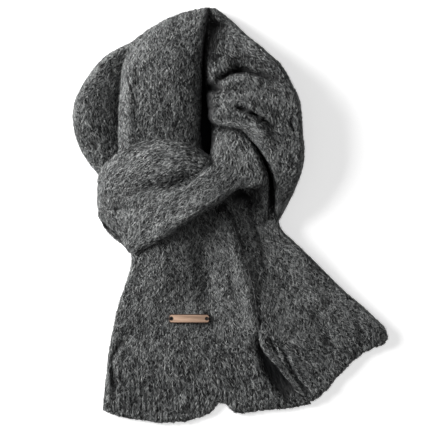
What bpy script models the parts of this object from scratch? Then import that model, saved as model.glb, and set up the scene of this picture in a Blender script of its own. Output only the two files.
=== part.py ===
"""A brushed knit scarf, doubled round the neck, tied with its tails through the bight and laid flat.

Tables and named sizes are in millimetres, with X across, Y up the length and Z up from the surface
that the scarf lies on. The meshes are in metres.
"""

import bpy
import numpy as np
from mathutils import Vector
from mathutils.bvhtree import BVHTree

MM = 0.001
UP = Vector((0, 0, 1))

CLOTH = 5.0  # thickness of the brushed knit
THINNEST = 4.2  # where it is pressed
GAP = 0.35  # between layers that lie on each other
EDGE_CLEAR = 2.0  # least rise of an edge over the layer that it lies on
CEILING = 200.0  # above everything, to look down from

# A section runs across a stretch from its left side to its right. The bow moves its middle back
# towards the stretch's start. The heights are of the upper face: at the outermost line of each
# side, just inside each side, and in the middle.
SECTION = (
    "left_x", "left_y", "right_x", "right_y", "bow",
    "side_left", "left", "mid", "right", "side_right",
)

TAIL_FRONT = (
    (-123, -33, 7, 34, 0, 9, 15, 25, 23, 14),
    (-116, -52, 19, 10, 0, 6, 15, 24, 22, 13),
    (-121, -68, 28, -20, 0, 4, 12, 20, 18, 11),
    (-127, -86, 38, -50, 0, 3, 10, 15, 14, 8),
    (-134.5, -107, 46, -82, 0, 3, 6.5, 9, 9, 6),
    (-140.5, -133, 56, -115, 0, 3, 6.5, 6.5, 7, 5.5),
    (-146, -162, 67, -150, 0, 3, 7, 6, 6.5, 5.5),
    (-149, -191, 80, -181, 0, 3, 6.5, 6, 6.5, 5.5),
    (-152, -215, 91, -209, 0, 3, 5.5, 6, 6, 5.5),
    (-154, -233, 97, -227, 0, 3, 5.5, 5.5, 5.5, 5),
)
TAIL_BACK = (
    (-14, 46, 46, 40, 0, 19, 23, 25, 32, 24),
    (-10, 27, 54, 22, 0, 19, 22, 24, 30, 22),
    (-5, 8, 56, 4, 0, 15, 18, 20, 22, 13),
    (5, -16, 60.5, -17, 0, 11, 13, 18, 18, 9),
    (14, -42, 80, -36, 0, 10, 12, 14, 16, 7),
    (23, -72, 108.5, -64, 0, 10, 12, 13, 16, 6),
    (30, -102, 133.5, -89, 0, 10, 13, 12, 13, 6),
    (33, -132, 157, -109, 0, 10, 13, 11, 12, 6),
    (38, -160, 172.5, -123, 0, 10, 13, 10, 11, 6),
    (56.5, -182, 184.5, -135, 0, 10, 13, 9, 10, 6),
    (75, -206, 188.5, -143, 0, 10, 12, 8, 9, 5.5),
    (90, -227, 189, -150, 0, 8, 10, 8, 9, 4),
)
NECK_LEFT_UNDER = (
    (-107, 212, -94, 205, 0, 8, 12, 14, 13, 12),
    (-135, 200, -109, 184, 0, 9, 17, 19, 18, 17),
    (-157, 184, -113, 164, 0, 9, 21, 19, 15, 14),
    (-176, 158, -116, 140, 0, 9, 23, 18, 10, 8),
    (-187.4, 133, -117, 116, 0, 11, 23, 18, 9, 6),
    (-188.4, 107, -118, 95, 0, 11, 23, 18, 9, 6),
    (-182, 84, -118, 76, 0, 9, 18, 15, 9, 6),
    (-171, 64, -117, 56, 0, 7, 13, 12, 9, 7),
    (-155, 45, -111, 37, 0, 6, 9, 9, 8, 7),
)
NECK_LEFT_OVER = (
    (-119.5, 207, -25, 250, 8, 8, 12, 16, 19, 14),
    (-125, 193, -28, 231, 6, 11, 19, 28, 28, 18),
    (-130, 176, -31.5, 206, 5, 14, 29, 36, 32, 18),
    (-131, 156, -33.5, 181, 4, 18, 35, 39, 33, 14),
    (-133, 133, -33, 153, 3, 18, 36, 38, 30, 12),
    (-134, 110, -31.5, 126, 2, 18, 36, 36, 28, 12),
    (-134, 89, -30.5, 101, 0, 18, 35, 33, 26, 12),
    (-133, 70, -29, 80, 0, 18, 29, 31, 23, 12),
    (-128, 52, -27, 61, 0, 14, 21, 26, 20, 12),
)
NECK_RIGHT_OUTER = (
    (-28, 248.5, -18, 248, 0, 10, 13, 15, 14, 9),
    (-31, 238, -1, 235, 0, 10, 18, 22, 25, 10),
    (-32, 222, 18.5, 216, 0, 10, 22, 28, 33, 11),
    (-31, 203, 42.5, 196, 0, 10, 25, 32, 38, 11),
    (-32.5, 186, 62, 177, 0, 10, 28, 36, 41, 12),
    (-32.5, 168, 73, 156.5, 2, 10, 32, 40, 41, 12),
    (-32, 150, 82, 138, 3, 9, 33, 41, 42, 12),
    (-31.5, 132, 84.5, 118, 4, 9, 33, 41, 42, 12),
    (-28, 113, 86, 98, 6, 10, 34, 41, 41, 12),
    (-8, 106, 87.5, 80, 6, 13, 37, 41, 40, 12),
    (10, 103, 87, 64, 5, 13, 38, 40, 38, 12),
    (25.5, 88, 84, 50, 4, 13, 38, 39, 35, 11),
    (40.5, 66.5, 79, 37, 3, 13, 37, 37, 33, 11),
    (49.5, 45, 72.5, 22, 0, 13, 35, 34, 30, 10),
    (51.5, 27, 66, 9, 0, 12, 30, 30, 25, 10),
    (51.5, 10, 60, -3, 0, 10, 23, 23, 19, 9),
    (53, -5, 57, -8, 0, 8, 13, 14, 12, 9),
)
WRAP_FRONT = (
    (-27, 119, 2, 116, 0, 12, 14, 17, 17, 12),
    (-26, 104, 17, 103, 0, 12, 18, 25, 27, 13),
    (-25, 88, 30, 81, 0, 12, 25, 34, 35, 14),
    (-25, 71, 40, 61, 0, 16, 32, 40, 40, 15),
    (-31, 57, 45, 37, 0, 34, 44, 48, 42, 26),
    (-41, 43, 28, 33, 0, 42, 51, 53, 48, 33),
    (-53, 34, 9, 31.5, 0, 44, 52, 56, 53, 35),
    (-65, 29, -12, 15, 0, 43, 51, 55, 56, 36),
    (-78, 26, -33, 2, 0, 40, 47, 52, 55, 34),
    (-92, 25, -51, -10, 0, 37, 42, 46, 49, 32),
    (-107, 24, -72, -24, 0, 32, 36, 39, 41, 28),
    (-123, 23, -95, -37, 0, 26, 29, 30, 31, 21),
    (-138, 22, -119, -46, 0, 19, 22, 22, 22, 15),
    (-146, 21, -130, -30, 0, 15, 17, 17, 17, 12),
    (-152.5, 20, -141, -18.5, 0, 12, 15, 15, 14, 10),
    (-157.5, 19, -150.5, -10, 0, 10, 12, 12, 12, 8),
    (-160.5, 18, -158.5, 0, 0, 8, 9, 9, 8, 6),
)
WRAP_UPPER = (
    (-23, 70, -20, 56, 0, 27, 33, 35, 31, 26),
    (-32, 76, -23, 40, 0, 28, 38, 41, 33, 27),
    (-47, 83, -33, 26, 0, 31, 42, 45, 36, 29),
    (-63, 88, -49, 17, 0, 32, 44, 47, 37, 28),
    (-79, 90, -67, 11, 0, 32, 43, 48, 36, 26),
    (-97, 89, -85, 8, 0, 30, 41, 46, 33, 22),
    (-113, 85, -104, 6, 0, 26, 37, 41, 29, 18),
    (-130, 77, -123, 6, 0, 22, 32, 35, 24, 13),
    (-144, 67, -140, 8, 0, 18, 27, 29, 20, 10),
    (-153, 58, -152, 10, 0, 13, 20, 21, 16, 9),
    (-159.5, 47, -160, 12, 0, 9, 12, 12, 10, 8),
)
WRAP_TURN = (
    (-150, 32, -136, 32, 0, 5, 5, 5, 5, 5),
    (-154, 14, -138, 14, 0, 6, 7, 7, 6, 6),
    (-157, 1, -138, 4, 0, 6, 8, 8, 7, 6),
    (-155, -9, -133, -5, 0, 6, 9, 9, 7, 6),
    (-149, -19, -126, -11, 0, 6, 9, 9, 8, 7),
    (-140, -28, -117, -16, 0, 6, 9, 10, 9, 8),
    (-132, -34, -109, -19, 0, 7, 10, 10, 9, 8),
    (-123, -42, -99, -24, 0, 7, 10, 10, 10, 9),
    (-113, -49, -90, -30, 0, 7, 10, 11, 11, 10),
)

# How far the hem reaches past its straight section, by the share of the way across.
HEM = ("across", "reach")
HEM_FRONT = (
    (0, 2), (0.08, 10), (0.18, 15), (0.28, 19), (0.39, 18), (0.47, 13), (0.51, 10), (0.535, 4),
    (0.555, -3), (0.585, -3), (0.61, 4), (0.64, 10), (0.7, 9), (0.8, 6), (0.9, 5), (1, 1),
)
HEM_BACK = (
    (0, 0), (0.14, 4.5), (0.27, 2.5), (0.38, -1.5), (0.5, -3), (0.62, -5.5), (0.76, -5),
    (0.86, -2), (0.95, 1.5), (1, 0),
)
HEM_BLEND = 70.0  # length of cloth over which the hem's line fades into the sections

RIB_PITCH = 6.5
RIB_RISE = 1.1
RIB_START_SHARE = 0.25  # of the full rise, where the border begins
GROOVE_SHARE = 0.3  # of the rise, that the grooves sink by
RIB_LENGTH = 56.0
RIB_ROWS = 4
RIB_CLEAR = 6.0  # least distance from the last plain section to the border

# A fold is a soft trough, or a ridge where its depth is negative, along a curve through three points.
FOLD = ("x0", "y0", "x1", "y1", "x2", "y2", "depth", "half_width")
TAIL_FRONT_FOLDS = (
    (-88, -30, -84, -70, -88, -120, -3, 18),
    (-34, 4, -29, -68, -18, -126, 7, 14),
    (-8, 6, 14, -78, 32, -160, -7, 10),
    (42, -162, 58, -190, 78, -219, 3.5, 8),
    (-130, -151, -141, -190, -138, -224, 2.2, 6),
)
TAIL_BACK_FOLDS = (
    (1, 18, 15, 24, 29, 14, 7, 8),
    (62, -160, 74, -186, 95, -214, 3, 6),
    (66, -25, 88, -60, 112, -110, -3.5, 12),
    (150, -124, 158, -140, 166, -154, 1.8, 7),
)
NECK_LEFT_UNDER_FOLDS = (
    (-124, 196, -131, 138, -129, 78, 5, 11),
    (-165, 160, -168, 110, -158, 70, -2, 12),
)
NECK_LEFT_OVER_FOLDS = (
    (-122, 185, -124, 135, -124, 80, -3, 8),
    (-66, 215, -60, 160, -62, 100, -2, 14),
)
NECK_RIGHT_OUTER_FOLDS = (
    (-26, 232, -14, 226, 2, 231, 3.5, 8),
    (-26, 232, -19, 208, -15, 186, 3, 10),
    (-24, 156, 12, 176, 72, 161, 12, 7),
    (-46, 152, -26, 152, -8, 149.5, 8, 7),
    (2, 129, 30, 119, 66, 92, 11, 7),
    (-46, 139, 14, 141, 60, 122, -8, 7),
    (-46, 118, 12, 117, 46, 84, -8, 7.5),
)
WRAP_FRONT_FOLDS = (
    (-32, 106, -2, 105, 22, 90, 5, 7),
    (-30, 10, -62, -4, -98, -22, -2, 8),
)
WRAP_UPPER_FOLDS = (
    (-46, 44, -72, 36, -100, 34, 3, 9),
)
WRAP_TURN_FOLDS = (
    (-155, -6, -150, -13, -145, -20, 2.5, 4),
)

# The tag is a slip of wood with narrowed ends and a hole near each end.
TAG_CENTRE = (-49.7, -124.6)
TAG_LENGTH = 49.0
TAG_WIDTH = 11.0
TAG_THICKNESS = 2.0
TAG_CORNER = 3.6  # corner radius
CORNER_STEPS = 3
TAG_TURN = np.radians(-0.3)
HOLE_RADIUS = 1.9
HOLE_FROM_END = 3.2
HOLE_SIDES = 10
THREAD_RADIUS = 0.7
STITCH = ("inwards", "aside", "up")  # from the tag's end, from its middle line, from its underside
THREAD_STITCH = (
    (3.2, 0, 0.6), (3.1, 0, 1.6), (2.3, 0.2, 3.1), (0.9, 0.4, 3.1), (-0.3, 0.6, 3.05),
    (-1.15, 0.7, 2), (-1.6, 0.8, 1.2),
)

CHARCOAL = (0.075, 0.077, 0.077, 1)
DARK_CHARCOAL = (0.045, 0.046, 0.047, 1)
WOOD = (0.52, 0.36, 0.24, 1)
THREAD = (0.05, 0.035, 0.03, 1)

# Each stretch, from the lowest layer up. A side, start or end that rounds away has a radius, and
# one that turns under has its lower face set in.
STRETCHES = {
    "tail_front": {
        "table": TAIL_FRONT, "folds": TAIL_FRONT_FOLDS, "hem": HEM_FRONT, "rows": 20, "across": 23,
        "round": (5, 6), "ends": (0, 4), "end_heights": (0, 3), "set_in": (1, 1, 1, 1),
    },
    "tail_back": {
        "table": TAIL_BACK, "folds": TAIL_BACK_FOLDS, "hem": HEM_BACK, "rows": 22, "across": 14,
        "round": (8, 5), "ends": (0, 4), "end_heights": (0, 3), "set_in": (1, 1, 1, 1),
    },
    "wrap_turn": {
        "table": WRAP_TURN, "folds": WRAP_TURN_FOLDS, "hem": None, "rows": 10, "across": 7,
        "round": (7, 0), "ends": (0, 0), "end_heights": (0, 0), "set_in": (4, 0, 0, 0),
    },
    "neck_left_under": {
        "table": NECK_LEFT_UNDER, "folds": NECK_LEFT_UNDER_FOLDS, "hem": None, "rows": 15,
        "across": 10, "round": (7, 0), "ends": (12, 0), "end_heights": (9, 0),
        "set_in": (6, 0, 3, 0),
    },
    "neck_left_over": {
        "table": NECK_LEFT_OVER, "folds": NECK_LEFT_OVER_FOLDS, "hem": None, "rows": 18,
        "across": 13, "round": (18, 12), "ends": (12, 0), "end_heights": (9, 0),
        "set_in": (0, 0, 6, 0),
    },
    "wrap_upper": {
        "table": WRAP_UPPER, "folds": WRAP_UPPER_FOLDS, "hem": None, "rows": 18, "across": 10,
        "round": (16, 5), "ends": (0, 8), "end_heights": (0, 6), "set_in": (0, 0, 0, 3),
    },
    "wrap_front": {
        "table": WRAP_FRONT, "folds": WRAP_FRONT_FOLDS, "hem": None, "rows": 30, "across": 10,
        "round": (7, 8), "ends": (0, 6), "end_heights": (0, 6), "set_in": (0, 0, 0, 3),
    },
    "neck_right_outer": {
        "table": NECK_RIGHT_OUTER, "folds": NECK_RIGHT_OUTER_FOLDS, "hem": None, "rows": 44,
        "across": 16, "round": (9, 6), "ends": (12, 10), "end_heights": (9, 8),
        "set_in": (0, 6, 4, 0),
    },
}

FINE_STEPS = 20  # places per row of a table, to measure along it
END_CROWDING = 0.12
SIDE_SHARE = 0.7  # most of a section's width that its rounded sides take
SET_IN_SHARE = 0.3  # and most of it that its lower face is set in by
FOLD_STEPS = 12
FOLD_END = 0.03  # share of a fold's length at which its depth stops shrinking
FOLD_FADE = 0.6  # below 1, a fold keeps its depth for longer before it ends
SEAT_STEPS = 10  # places looked at between two points of a lower face
MAP_MARGIN = 8

CORE_ROW = 12.0
CORE_ACROSS = 12
CORE_LOWEST = 3.0  # the hidden layers end where they would be thinner than this
CORE_END = -92.0
RASTER = 3.0
CORE_EASE = 13.0  # how far the hidden layers keep away from a dip in what covers them
SLIT = 6.0  # a parting in the cover no wider than twice this doesn't divide the hidden layers


def clear_scene():
    for old in list(bpy.data.objects):
        bpy.data.objects.remove(old, do_unlink=True)


def cloth_material(name, colour, roughness):
    material = bpy.data.materials.new(name)
    material.use_nodes = True
    shader = material.node_tree.nodes["Principled BSDF"]
    shader.inputs["Base Color"].default_value = colour
    shader.inputs["Roughness"].default_value = roughness
    shader.inputs["Metallic"].default_value = 0
    return material


def add_object(name, points, faces, material):
    """One closed piece from points in millimetres."""
    mesh = bpy.data.meshes.new(name)
    mesh.from_pydata([Vector(point) * MM for point in points], [], faces)
    mesh.validate()
    mesh.shade_smooth()
    mesh.set_sharp_from_angle(angle=np.radians(50))
    mesh.materials.append(material)
    piece = bpy.data.objects.new(name, mesh)
    bpy.context.scene.collection.objects.link(piece)
    return piece


def between_rows(table, position):
    """A table's values at a place between its rows, on a smooth curve through them."""
    last = len(table) - 1
    row = min(int(position), last - 1)
    before = table[max(row - 1, 0)]
    here = table[row]
    after = table[row + 1]
    beyond = table[min(row + 2, last)]
    f = position - row
    slope = after - before
    bend = 2 * before - 5 * here + 4 * after - beyond
    twist = 3 * here - before - 3 * after + beyond
    return 0.5 * (2 * here + slope * f + bend * f**2 + twist * f**3)


def row_places(stretch):
    """Places along a stretch's table, evenly spaced, and closer together at rounded ends."""
    table = stretch["array"]
    fine = np.linspace(0, len(table) - 1, FINE_STEPS * len(table))
    middles = np.array([section_points(stretch, place, np.array([0.5]))[0][:2] for place in fine])
    steps = np.linalg.norm(np.diff(middles, axis=0), axis=1)
    travelled = np.concatenate([[0], np.cumsum(steps)])
    stretch["length"] = travelled[-1]
    stretch["fine"] = fine
    stretch["travelled"] = travelled
    share = np.linspace(0, 1, stretch["rows"])
    crowd = END_CROWDING * np.sin(np.pi * share)
    start, end = stretch["ends"]
    if start:
        share = share - crowd * (1 - share)
    if end:
        share = share + crowd * share
    return np.interp(share * travelled[-1], travelled, fine)


def side_radii(stretch, width):
    """The radii of a section's two sides, less where the section is narrow."""
    left, right = stretch["round"]
    fit = min(1, SIDE_SHARE * width / max(left + right, 1))
    return left * fit, right * fit


def rounded(height, edge_height, distance, radius):
    """A height that falls to its edge's own along a quarter round."""
    if radius <= 0:
        return height
    run = np.clip(distance / radius, 0, 1)
    return edge_height + (height - edge_height) * np.sqrt(1 - (1 - run) ** 2)


def fold_depth(folds, x, y):
    """How far the folds lower the upper face at places in plan."""
    depth = np.zeros_like(x)
    for row in folds:
        fold = dict(zip(FOLD, row))
        share = np.linspace(0, 1, FOLD_STEPS + 1)[:, None]
        start = np.array([fold["x0"], fold["y0"]])
        end = np.array([fold["x2"], fold["y2"]])
        control = 2 * np.array([fold["x1"], fold["y1"]]) - 0.5 * (start + end)
        line = (1 - share) ** 2 * start + 2 * share * (1 - share) * control + share**2 * end
        nearest = np.full_like(x, np.inf)
        place = np.zeros_like(x)
        for step in range(FOLD_STEPS):
            run = line[step + 1] - line[step]
            along = ((x - line[step][0]) * run[0] + (y - line[step][1]) * run[1]) / (run @ run)
            along = np.clip(along, 0, 1)
            off_x = x - line[step][0] - along * run[0]
            off_y = y - line[step][1] - along * run[1]
            distance = np.hypot(off_x, off_y)
            closer = distance < nearest
            nearest = np.where(closer, distance, nearest)
            place = np.where(closer, (step + along) / FOLD_STEPS, place)
        fade = np.sin(np.pi * np.clip(place, FOLD_END, 1 - FOLD_END)) ** FOLD_FADE
        depth += fold["depth"] * np.exp(-((nearest / fold["half_width"]) ** 2)) * fade
    return depth


def section_points(stretch, place, across):
    """Points of the upper face on one section, at shares of the way across."""
    row = dict(zip(SECTION, between_rows(stretch["array"], place)))
    left = np.array([row["left_x"], row["left_y"]])
    right = np.array([row["right_x"], row["right_y"]])
    chord = right - left
    width = np.linalg.norm(chord)
    back = np.array([-chord[1], chord[0]]) / width
    bulge = 4 * across * (1 - across)
    plan = left + across[:, None] * chord + (row["bow"] * bulge)[:, None] * back
    if stretch["hem"] and "length" in stretch:
        hem = dict(zip(HEM, np.array(stretch["hem"], float).T))
        to_go = stretch["length"] - np.interp(place, stretch["fine"], stretch["travelled"])
        blend = max(0, 1 - to_go / HEM_BLEND) ** 2
        plan = plan - (blend * np.interp(across, hem["across"], hem["reach"]))[:, None] * back
    height = row["left"] * (1 - across) * (1 - 2 * across)
    height += row["mid"] * bulge + row["right"] * across * (2 * across - 1)
    height -= fold_depth(stretch["folds"], plan[:, 0], plan[:, 1])
    radius_left, radius_right = side_radii(stretch, width)
    height = rounded(height, row["side_left"], across * width, radius_left)
    height = rounded(height, row["side_right"], (1 - across) * width, radius_right)
    if "length" in stretch:
        travelled = np.interp(place, stretch["fine"], stretch["travelled"])
        start, end = stretch["ends"]
        height_start, height_end = stretch["end_heights"]
        height = rounded(height, height_start, travelled, start)
        height = rounded(height, height_end, stretch["length"] - travelled, end)
    return np.column_stack([plan, height])


def columns(stretch, place):
    """Shares of the way across a section, closer together where its sides round away."""
    row = dict(zip(SECTION, between_rows(stretch["array"], place)))
    width = np.hypot(row["right_x"] - row["left_x"], row["right_y"] - row["left_y"])
    left, right = (radius / width for radius in side_radii(stretch, width))
    left = max(left, 0.02)
    right = max(right, 0.02)
    middle = np.linspace(left, 1 - right, stretch["across"] - 4)
    return np.concatenate([[0, 0.3 * left], middle, [1 - 0.3 * right, 1]])


def rib_columns(stretch, place):
    """Shares of the way across a ribbed section, one for each rib and one for each groove."""
    row = dict(zip(SECTION, between_rows(stretch["array"], place)))
    width = np.hypot(row["right_x"] - row["left_x"], row["right_y"] - row["left_y"])
    ribs = round(width / RIB_PITCH)
    return np.linspace(0, 1, 2 * ribs + 1)


def upper_rows(stretch):
    """The upper face as rows of points, with the ribs of a border raised."""
    places = stretch["places"]
    rows = []
    for place in places:
        across = columns(stretch, place)
        rows.append((across, section_points(stretch, place, across)))
    if not stretch["hem"]:
        return rows
    travelled = np.interp(places, stretch["fine"], stretch["travelled"])
    rows = [row for row, at in zip(rows, travelled) if stretch["length"] - at > RIB_LENGTH + RIB_CLEAR]
    spots = stretch["length"] - RIB_LENGTH * np.linspace(1, 0, RIB_ROWS)
    ribs = rib_columns(stretch, len(stretch["array"]) - 1)
    for step, spot in enumerate(spots):
        place = np.interp(spot, stretch["travelled"], stretch["fine"])
        points = section_points(stretch, place, ribs)
        rise = RIB_RISE * (RIB_START_SHARE if step == 0 else 1)
        points[1:-1:2, 2] += rise
        points[2:-1:2, 2] -= GROOVE_SHARE * rise
        rows.append((ribs, points))
    return rows


def highest_below(tree, x, y):
    """The top of what lies under a place, or the surface that the scarf lies on."""
    hit = tree.ray_cast(Vector((x, y, CEILING)), -UP)[0]
    return hit.z if hit else -GAP


def support_map(tree, rows):
    """Tops of what lies under a stretch, each millimetre, taken from a little around each place."""
    plan = np.concatenate([points[:, :2] for _, points in rows])
    corner = np.floor(plan.min(axis=0)) - MAP_MARGIN
    size = np.ceil(plan.max(axis=0) + MAP_MARGIN - corner).astype(int)
    tops = np.array([
        [highest_below(tree, x, y) for x in corner[0] + np.arange(size[0])]
        for y in corner[1] + np.arange(size[1])
    ])
    widened = tops.copy()
    for step in ((0, 1), (0, -1), (1, 0), (-1, 0)):
        widened = np.maximum(widened, np.roll(tops, step, (0, 1)))
    return corner, widened


def lower_rows(stretch, support):
    """The lower face as rows of points, resting on what lies below."""
    corner, tops = support
    places = stretch["places"]
    left_in, right_in, start_in, end_in = stretch["set_in"]
    travelled = np.interp(places, stretch["fine"], stretch["travelled"])
    span = stretch["length"] - start_in - end_in
    spots = start_in + travelled / stretch["length"] * span
    spots = np.interp(spots, stretch["travelled"], stretch["fine"])
    rows = []
    for number, place in enumerate(spots):
        row = dict(zip(SECTION, between_rows(stretch["array"], place)))
        width = np.hypot(row["right_x"] - row["left_x"], row["right_y"] - row["left_y"])
        fit = min(1, SET_IN_SHARE * width / max(left_in + right_in, 1))
        low = left_in * fit / width
        high = 1 - right_in * fit / width
        across = low + columns(stretch, place) * (high - low)
        reach_before = place - spots[max(number - 1, 0)]
        reach_after = spots[min(number + 1, len(spots) - 1)] - place
        seat = np.full(len(across), -GAP)
        for share in np.linspace(-1, 1, 2 * SEAT_STEPS + 1):
            near = place + share * (reach_before if share < 0 else reach_after)
            steps = np.linspace(0, len(across) - 1, SEAT_STEPS * (len(across) - 1) + 1)
            fine = np.interp(steps, np.arange(len(across)), across)
            plan = section_points(stretch, near, fine)[:, :2]
            spot = np.rint(plan - corner).astype(int)
            under = tops[spot[:, 1], spot[:, 0]]
            for column in range(len(across)):
                first = max(SEAT_STEPS * (column - 1), 0)
                last = SEAT_STEPS * (column + 1) + 1
                seat[column] = max(seat[column], under[first:last].max())
        points = section_points(stretch, place, across)
        points[:, 2] = seat + GAP
        rows.append((across, points))
    return rows


def lifted(upper, lower):
    """The upper face, raised wherever the cloth over what lies below would be too thin."""
    tree = BVHTree.FromPolygons(*open_face(lower))
    rows = []
    for across, points in upper:
        raised = points.copy()
        for point in raised:
            hit = tree.ray_cast(Vector((point[0], point[1], CEILING)), -UP)[0]
            if hit:
                least = hit.z + THINNEST
            else:
                hit = tree.find_nearest(Vector(point))[0]
                least = hit.z + EDGE_CLEAR
            if hit.z > GAP:
                point[2] = max(point[2], least)
        rows.append((across, raised))
    return rows


def zip_strip(faces, first, second):
    """Triangles between two rows of (share, point number, height) that may differ in count."""
    i, j = 0, 0
    while i < len(first) - 1 or j < len(second) - 1:
        if j == len(second) - 1:
            step_first = True
        elif i == len(first) - 1:
            step_first = False
        elif len(first) == len(second):
            flatter = abs(first[i + 1][2] - second[j][2]) <= abs(first[i][2] - second[j + 1][2])
            step_first = i < j or (i == j and flatter)
        else:
            step_first = first[i + 1][0] <= second[j + 1][0]
        if step_first:
            faces.append((first[i][1], second[j][1], first[i + 1][1]))
            i += 1
        else:
            faces.append((first[i][1], second[j][1], second[j + 1][1]))
            j += 1


def number_rows(rows, points):
    """Adds rows of points to a list, and gives each row as (share, point number, height)."""
    numbered = []
    for across, row in rows:
        start = len(points)
        numbered.append([(share, start + k, row[k][2]) for k, share in enumerate(across)])
        points.extend(row.tolist())
    return numbered


def side_of(rows, column):
    """One side of a face, as (share along, point number, height)."""
    last = len(rows) - 1
    return [(step / last, *row[column][1:]) for step, row in enumerate(rows)]


def closed_wall(upper, lower):
    """Points and faces of a wall between its upper and its lower face."""
    points = []
    faces = []
    top = number_rows(upper, points)
    bottom = number_rows(lower, points)
    for first, second in zip(top, top[1:]):
        zip_strip(faces, first, second)
    for first, second in zip(bottom, bottom[1:]):
        zip_strip(faces, second, first)
    zip_strip(faces, bottom[0], top[0])
    zip_strip(faces, top[-1], bottom[-1])
    zip_strip(faces, side_of(top, 0), side_of(bottom, 0))
    zip_strip(faces, side_of(bottom, -1), side_of(top, -1))
    return points, faces


def open_face(rows):
    """Points and faces of an upper face alone."""
    points = []
    faces = []
    numbered = number_rows(rows, points)
    for first, second in zip(numbered, numbered[1:]):
        zip_strip(faces, first, second)
    return points, faces


def merged_tree(shapes):
    """One search tree over several shapes."""
    points = []
    faces = []
    for shape_points, shape_faces in shapes:
        start = len(points)
        points.extend(shape_points)
        faces.extend(tuple(start + k for k in face) for face in shape_faces)
    return BVHTree.FromPolygons(points, faces)


def prepare(stretch):
    stretch["array"] = np.array(stretch["table"], float)
    stretch["places"] = row_places(stretch)


def cover_heights(tree, xs, ys):
    """The lowest cloth over each place of a raster, or nothing."""
    heights = np.zeros((len(ys), len(xs)))
    for j, y in enumerate(ys):
        for i, x in enumerate(xs):
            hit = tree.ray_cast(Vector((x, y, -CEILING)), UP)[0]
            heights[j, i] = hit.z if hit else 0
    return heights


def around(heights, distance, choose):
    """The least or the greatest height within a distance of each place."""
    reach = int(round(distance / RASTER))
    chosen = heights.copy()
    for dy in range(-reach, reach + 1):
        for dx in range(-reach, reach + 1):
            if dx * dx + dy * dy <= reach * reach:
                chosen = choose(chosen, np.roll(heights, (dy, dx), (0, 1)))
    return chosen


def bridged(heights):
    """The cover's heights, with narrow partings closed at the height of their sides."""
    closed = around(around(heights, SLIT, np.maximum), SLIT, np.minimum)
    return np.where(heights > 0, heights, closed)


def longest_run(inside):
    """First and last place of the longest unbroken run."""
    best = (0, -1)
    start = None
    for k, value in enumerate(list(inside) + [False]):
        if value and start is None:
            start = k
        if not value and start is not None:
            if k - 1 - start > best[1] - best[0]:
                best = (start, k - 1)
            start = None
    return best


def hidden_rows(tree):
    """Rows of the hidden layers' upper face: what covers them, less the cloth."""
    xs = np.arange(-200, 200, RASTER)
    ys = np.arange(255, CORE_END - CORE_ROW, -RASTER)
    cover = bridged(cover_heights(tree, xs, ys))
    room = around(cover, CORE_EASE, np.minimum) - CLOTH - 2 * GAP
    spans = []
    for j in range(0, len(ys) - int(CORE_EASE / RASTER), int(CORE_ROW / RASTER)):
        first, last = longest_run(room[j] > CORE_LOWEST)
        if last > first and xs[last] - xs[first] > 2 * CORE_ROW:
            spans.append((j, xs[first], xs[last]))
    rows = []
    for number, (j, first, last) in enumerate(spans):
        near = spans[max(number - 1, 0):number + 2]
        first = max(first, np.mean([span[1] for span in near]))
        last = min(last, np.mean([span[2] for span in near]))
        if last - first < 2 * CORE_ROW:
            continue
        share = (1 - np.cos(np.pi * np.linspace(0, 1, CORE_ACROSS))) / 2
        across = 0.5 * share + 0.5 * np.linspace(0, 1, CORE_ACROSS)
        x = first + across * (last - first)
        z = np.maximum(np.interp(x, xs, room[j]), CORE_LOWEST)
        rows.append((across, np.column_stack([x, np.full(len(x), ys[j]), z])))
    return rows


def on_floor(rows):
    """The same rows on the surface below."""
    return [(across, points * (1, 1, 0)) for across, points in rows]


def tag_outline():
    """The tag's outline, with its corners rounded."""
    outline = []
    for quarter in range(4):
        centre = Vector((
            (TAG_LENGTH / 2 - TAG_CORNER) * (1, -1, -1, 1)[quarter],
            (TAG_WIDTH / 2 - TAG_CORNER) * (1, 1, -1, -1)[quarter],
        ))
        for step in range(CORNER_STEPS + 1):
            angle = np.pi / 2 * (quarter + step / CORNER_STEPS)
            outline.append(centre + TAG_CORNER * Vector((np.cos(angle), np.sin(angle))))
    return outline


def tag_mesh():
    """The tag, lying about its own centre."""
    rim = tag_outline()
    count = len(rim)
    points = [(x, y, z) for z in (0, TAG_THICKNESS) for x, y in rim]
    bottom = tuple(range(count))[::-1]
    top = tuple(range(count, 2 * count))
    sides = [(k, (k + 1) % count, count + (k + 1) % count, count + k) for k in range(count)]
    return points, [bottom, top] + sides


def add_hole(tag, x):
    bpy.ops.mesh.primitive_cylinder_add(
        vertices=HOLE_SIDES, radius=HOLE_RADIUS * MM, depth=6 * TAG_THICKNESS * MM,
        location=(x * MM, 0, 0),
    )
    cutter = bpy.context.object
    cutter.name = "hole_cutter"
    cutter.hide_render = True
    cutter.display_type = "WIRE"
    cutter.parent = tag
    cut = tag.modifiers.new("hole", "BOOLEAN")
    cut.object = cutter
    cut.solver = "EXACT"


def add_thread(name, sign, frame):
    """A stitch from a hole, over the tag's end and down to the cloth beside it."""
    curve = bpy.data.curves.new(name, "CURVE")
    curve.dimensions = "3D"
    curve.bevel_depth = THREAD_RADIUS * MM
    curve.bevel_resolution = 1
    curve.use_fill_caps = True
    line = curve.splines.new("POLY")
    line.points.add(len(THREAD_STITCH) - 1)
    for point, row in zip(line.points, THREAD_STITCH):
        stop = dict(zip(STITCH, row))
        x = sign * (TAG_LENGTH / 2 - stop["inwards"])
        point.co = (*(Vector((x, stop["aside"], stop["up"])) * MM), 1)
    curve.materials.append(cloth_material(name, THREAD, 0.8))
    thread = bpy.data.objects.new(name, curve)
    bpy.context.scene.collection.objects.link(thread)
    thread.parent = frame
    return thread


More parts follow.
